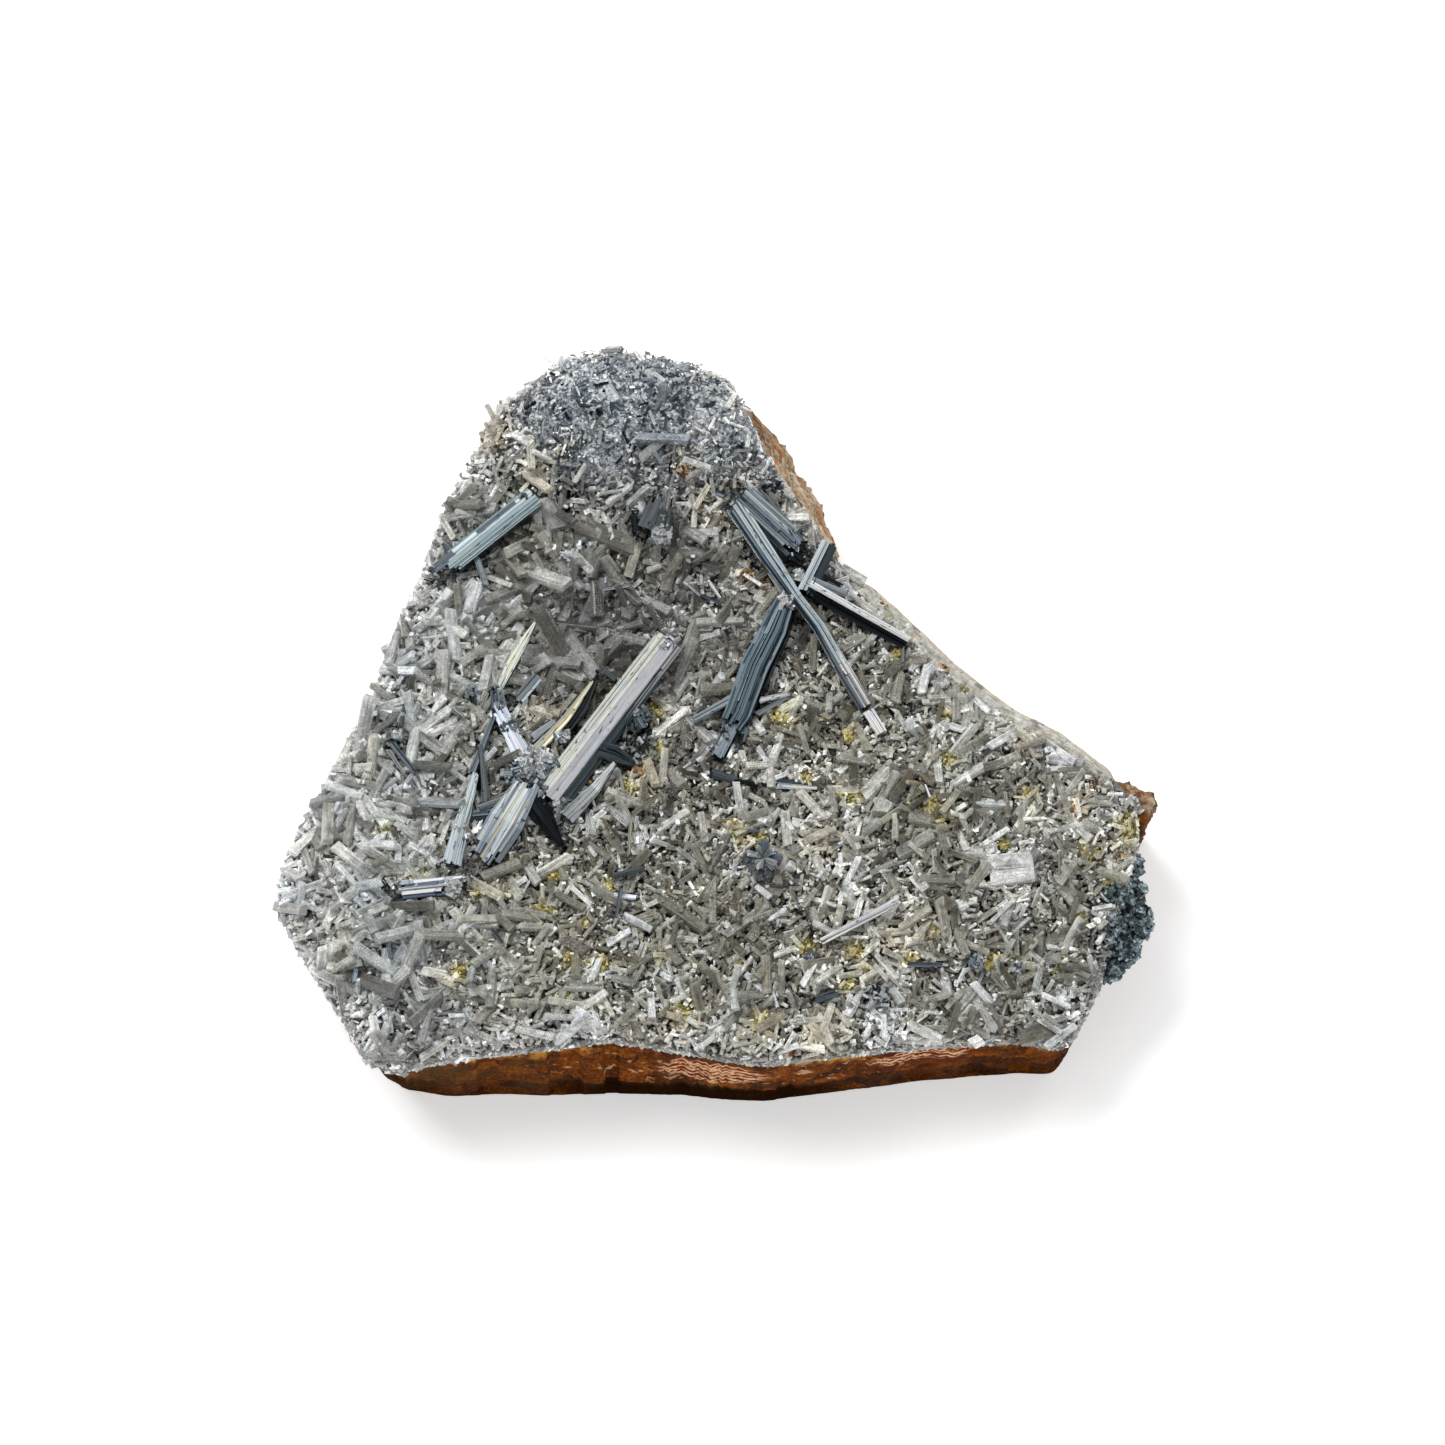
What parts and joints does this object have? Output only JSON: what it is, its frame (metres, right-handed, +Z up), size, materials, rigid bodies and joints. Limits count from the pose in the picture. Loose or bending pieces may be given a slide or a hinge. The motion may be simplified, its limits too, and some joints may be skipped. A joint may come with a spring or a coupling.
{
  "type": "stibnite specimen",
  "caption": "Mineral specimen: metallic striated stibnite prisms crossing on a crust of grey barite laths, on a flat slab of rusty wall rock.",
  "frame": {"origin": "middle of the flat underside of the slab", "axes": "+Z up from the underside through the crystals, +X along the long front face to the right, +Y away from the viewer to the narrow raised end"},
  "size_m": [0.12, 0.1047, 0.026],
  "materials": {
    "wall_rock": "broken rock, rust brown with orange stains and cream bands",
    "barite": "crust of glassy grey laths, clear to milky, with yellow ochre specks",
    "stibnite": "metallic blue-grey, striated lengthwise, with pale tarnish colours",
    "massive_stibnite": "dark metallic, granular and jagged"
  },
  "bodies": {
    "root": {"wall_rock": "wall_rock", "barite_crust": "barite", "stibnite_centre_cluster": "stibnite", "stibnite_right_cluster": "stibnite", "stibnite_upper_left_prism": "stibnite", "stibnite_lower_left_block": "stibnite", "stibnite_step_block": "stibnite", "stibnite_twin_needle": "stibnite", "stibnite_low_needle": "stibnite", "stibnite_rosette": "stibnite", "massive_stibnite": "massive_stibnite"}
  },
  "joints": []
}
